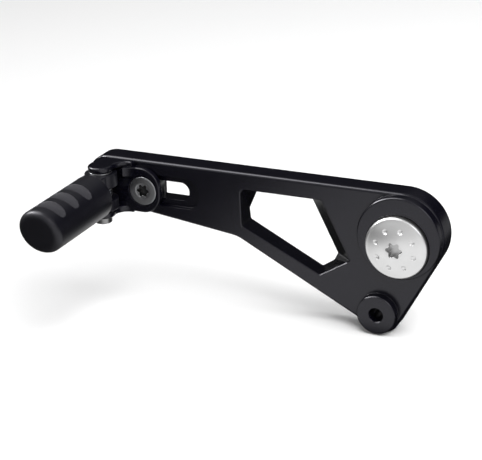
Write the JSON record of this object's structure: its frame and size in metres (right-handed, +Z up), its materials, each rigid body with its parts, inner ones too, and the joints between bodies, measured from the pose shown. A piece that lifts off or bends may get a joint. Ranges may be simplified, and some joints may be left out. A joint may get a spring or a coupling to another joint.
{
  "type": "gear shift lever",
  "caption": "Motorcycle gear shift lever: machined arm with a window, turning on a domed shoulder bolt, with a folding grooved toe peg clamped in a slot.",
  "frame": {"origin": "on the pivot axis, at the flat end of the pivot bolt's thread, where the lever fastens to the motorcycle", "axes": "+Y along the pivot axis towards the motorcycle, -Y to the outer side, -X towards the toe end, +Z up"},
  "size_m": [0.1506, 0.0891, 0.058],
  "materials": {
    "black_anodised": "satin black anodised",
    "satin_silver": "satin turned",
    "dark_steel": "turned, dark",
    "zinc_steel": "zinc plated",
    "bronze": "sintered bronze",
    "spring_steel": "drawn wire",
    "seal_rubber": "matt"
  },
  "bodies": {
    "pivot_post": {"pivot_bolt": "satin_silver", "pivot_sleeve": "zinc_steel", "outer_thrust_washer": "zinc_steel", "inner_thrust_washer": "zinc_steel"},
    "lever": {"lever_arm": "black_anodised", "outer_pivot_bush": "bronze", "inner_pivot_bush": "bronze", "outer_seal": "seal_rubber", "inner_seal": "seal_rubber"},
    "clamp": {"slot_nut": "zinc_steel", "clamp_screw": "dark_steel", "grip_washer": "zinc_steel"},
    "holder": {"toe_holder": "black_anodised", "hinge_pin": "satin_silver", "return_spring": "spring_steel"},
    "peg": {"toe_peg": "black_anodised", "lower_hinge_bush": "bronze", "upper_hinge_bush": "bronze", "lower_hinge_washer": "zinc_steel", "upper_hinge_washer": "zinc_steel"}
  },
  "joints": [
    {"name": "lever_pivot", "type": "hinge", "parent": "pivot_post", "child": "lever", "pos_m": [0, -0.025, 0], "axis": [0, 1, 0], "range_deg": [-15, 15]},
    {"name": "clamp_slide", "type": "slide", "parent": "lever", "child": "clamp", "axis": [1, 0, 0], "range_m": [-0.01, 0.014]},
    {"name": "holder_turn", "type": "hinge", "parent": "clamp", "child": "holder", "pos_m": [-0.1074, -0.025, 0.0079], "axis": [0, 1, 0], "range_deg": [-15, 15]},
    {"name": "toe_fold", "type": "hinge", "parent": "holder", "child": "peg", "pos_m": [-0.122, -0.0395, 0], "axis": [0, 0, 1], "range_deg": [0, 70]}
  ]
}
